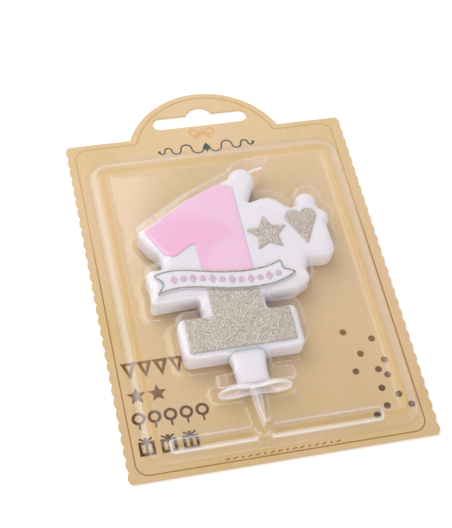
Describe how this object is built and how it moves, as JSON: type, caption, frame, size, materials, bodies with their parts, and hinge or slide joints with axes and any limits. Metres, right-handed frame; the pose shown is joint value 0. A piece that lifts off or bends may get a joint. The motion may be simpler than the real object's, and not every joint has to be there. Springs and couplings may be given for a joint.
{
  "type": "number birthday candle",
  "caption": "Flat wax number candle with a ribbon banner and a clear cake pick, held on a scalloped hanging card under a clear form-fitting blister.",
  "frame": {"origin": "middle of the card's back face, halfway between its bottom edge and the top of its hang tab", "axes": "+X right across the card, +Y up the card towards the hang tab, +Z out of the card's printed face"},
  "size_m": [0.0928, 0.135, 0.0109],
  "materials": {
    "kraft_board": "uncoated printed kraft board with a faint fibre",
    "brown_ink": "thin matt print",
    "bronze_foil": "dark bronze print with a slight metallic sheen",
    "peach_ink": "pale matt print",
    "green_grey_ink": "dark matt print",
    "clear_blister_film": "clear glossy thermoformed film",
    "white_wax": "white paraffin wax, soft satin, slightly translucent",
    "wick_cotton": "waxed braided cotton",
    "pink_wax": "pink wax, satin",
    "champagne_glitter": "fine silver-champagne glitter in clear lacquer",
    "grey_glitter": "fine grey-gold glitter line",
    "pink_ink": "thin pink wax print",
    "clear_pick_plastic": "clear moulded polystyrene"
  },
  "bodies": {
    "card": {"backing_card": "kraft_board", "card_border_line": "brown_ink", "card_motif_block": "bronze_foil", "card_foil_dots": "bronze_foil", "card_bow_ornament": "peach_ink", "card_title_flourish": "green_grey_ink", "card_foot_flourish": "brown_ink"},
    "blister": {"blister_sheet": "clear_blister_film", "blister_pocket_wall": "clear_blister_film", "blister_pocket_roof": "clear_blister_film"},
    "candle": {"candle_body": "white_wax", "wick": "wick_cotton", "numeral_face": "pink_wax", "glitter_foot": "champagne_glitter", "suffix_star": "champagne_glitter", "suffix_heart": "champagne_glitter", "banner_ribbon": "white_wax", "banner_outline": "grey_glitter", "banner_marks": "pink_ink", "candle_pick": "clear_pick_plastic"}
  },
  "joints": [
    {"name": "blister_peel", "type": "slide", "parent": "card", "child": "blister", "axis": [0, 0, 1], "range_m": [0, 0.06]},
    {"name": "candle_take_out", "type": "slide", "parent": "card", "child": "candle", "axis": [0, 0, 1], "range_m": [0, 0.03]}
  ],
  "couplings": [
    {"joint": "candle_take_out", "follows": "blister_peel", "ratio": 0.5}
  ]
}
